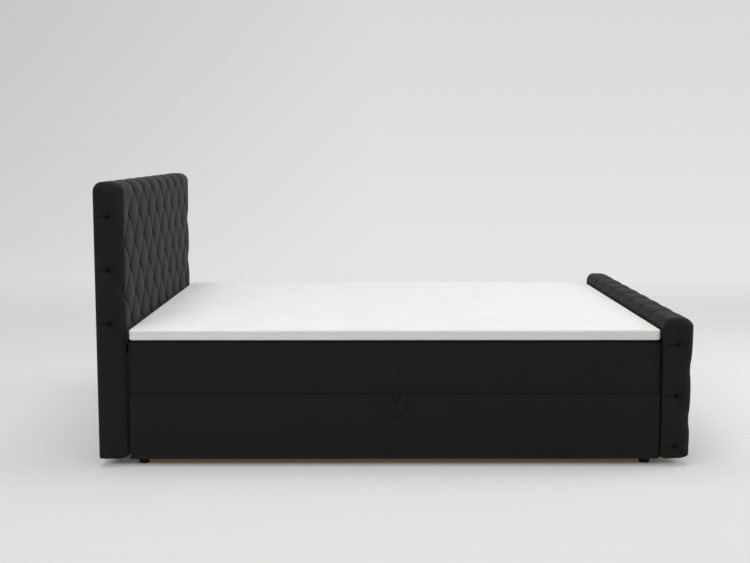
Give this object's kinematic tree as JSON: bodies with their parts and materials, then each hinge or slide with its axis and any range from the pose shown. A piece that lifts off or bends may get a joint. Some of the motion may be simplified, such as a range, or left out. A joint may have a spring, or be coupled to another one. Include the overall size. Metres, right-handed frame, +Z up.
{
  "type": "box spring bed",
  "caption": "Upholstered box spring bed with tufted headboard and footboard, a topper, and a spring mattress that lifts on side hinges and gas struts over a storage box.",
  "frame": {"origin": "on the floor, under the middle of the bed's outline", "axes": "+X from the headboard to the footboard, +Y from the side with the pull loop to the hinged side, +Z up"},
  "size_m": [2.24, 1.62, 1.078],
  "materials": {
    "upholstery": "charcoal velvet, matt, over padding",
    "plain_cloth": "charcoal cloth on a thin panel",
    "topper_cloth": "white knitted cover",
    "foam": "open-cell foam",
    "pocket_springs": "springs sewn into non-woven pockets",
    "timber": "planed softwood",
    "wood_panel": "raw wood-based panel",
    "black_plastic": "moulded, matt black",
    "plated_steel": "zinc plated",
    "strut_paint": "black powder coat",
    "rod_chrome": "hard chromed rod"
  },
  "bodies": {
    "base": {"box_cover": "upholstery", "cross_plank_foot": "timber", "cross_plank_head": "timber", "cross_plank_middle": "timber", "end_panel_foot": "wood_panel", "end_panel_head": "wood_panel", "feet": "black_plastic", "floor_panel": "wood_panel", "footboard_bolts": "plated_steel", "footboard_face_board": "wood_panel", "footboard_inner_cover": "plain_cloth", "footboard_pad": "upholstery", "footboard_post_far": "timber", "footboard_post_near": "timber", "footboard_rail_bolted": "timber", "footboard_rail_top": "timber", "footboard_spacers": "black_plastic", "headboard_back_cover": "plain_cloth", "headboard_bolts": "plated_steel", "headboard_face_board": "wood_panel", "headboard_pad": "upholstery", "headboard_post_far": "timber", "headboard_post_near": "timber", "headboard_rail_bolted": "timber", "headboard_rail_middle": "timber", "headboard_rail_top": "timber", "headboard_spacers": "black_plastic", "hinge_fixed_leaves": "plated_steel", "hinge_pins": "plated_steel", "hinge_screws_box": "plated_steel", "side_panel_far": "wood_panel", "side_panel_near": "wood_panel", "strut_brackets_box": "plated_steel"},
    "lid": {"hinge_moving_leaves": "plated_steel", "hinge_screws_lid": "plated_steel", "lid_deck": "wood_panel", "lid_rail_far": "timber", "lid_rail_foot": "timber", "lid_rail_head": "timber", "lid_rail_near": "timber", "lid_slats": "timber", "mattress_comfort_foam": "foam", "mattress_cover": "upholstery", "mattress_edge_foam": "foam", "mattress_springs": "pocket_springs", "strut_brackets_lid": "plated_steel", "topper_core": "foam", "topper_cover": "topper_cloth"},
    "strut_cylinder_head": {"strut_cylinder_head": "strut_paint"},
    "strut_cylinder_foot": {"strut_cylinder_foot": "strut_paint"},
    "strut_rod_head": {"strut_rod_head": "rod_chrome"},
    "strut_rod_foot": {"strut_rod_foot": "rod_chrome"},
    "pull_loop": {"pull_loop": "upholstery"}
  },
  "joints": [
    {"name": "lid_hinge", "type": "hinge", "parent": "base", "child": "lid", "pos_m": [0, 0.8044, 0.282], "axis": [-1, 0, 0], "range_deg": [0, 38]},
    {"name": "loop_swing", "type": "hinge", "parent": "lid", "child": "pull_loop", "pos_m": [0.005, -0.8029, 0.282], "axis": [-1, 0, 0], "range_deg": [0, 120]},
    {"name": "strut_turn_head", "type": "hinge", "parent": "base", "child": "strut_cylinder_head", "pos_m": [-0.96, 0.6444, 0.077], "axis": [-1, 0, 0], "range_deg": [0, 19.1]},
    {"name": "strut_slide_head", "type": "slide", "parent": "strut_cylinder_head", "child": "strut_rod_head", "axis": [0, -0.4061, 0.9138], "range_m": [0, 0.139]},
    {"name": "strut_turn_foot", "type": "hinge", "parent": "base", "child": "strut_cylinder_foot", "pos_m": [0.96, 0.6444, 0.077], "axis": [-1, 0, 0], "range_deg": [0, 19.1]},
    {"name": "strut_slide_foot", "type": "slide", "parent": "strut_cylinder_foot", "child": "strut_rod_foot", "axis": [0, -0.4061, 0.9138], "range_m": [0, 0.139]}
  ],
  "couplings": [
    {"joint": "strut_turn_head", "follows": "lid_hinge", "ratio": 0.5021},
    {"joint": "strut_slide_head", "follows": "lid_hinge", "m_per_rad": 0.20953},
    {"joint": "strut_turn_foot", "follows": "lid_hinge", "ratio": 0.5021},
    {"joint": "strut_slide_foot", "follows": "lid_hinge", "m_per_rad": 0.20953}
  ]
}
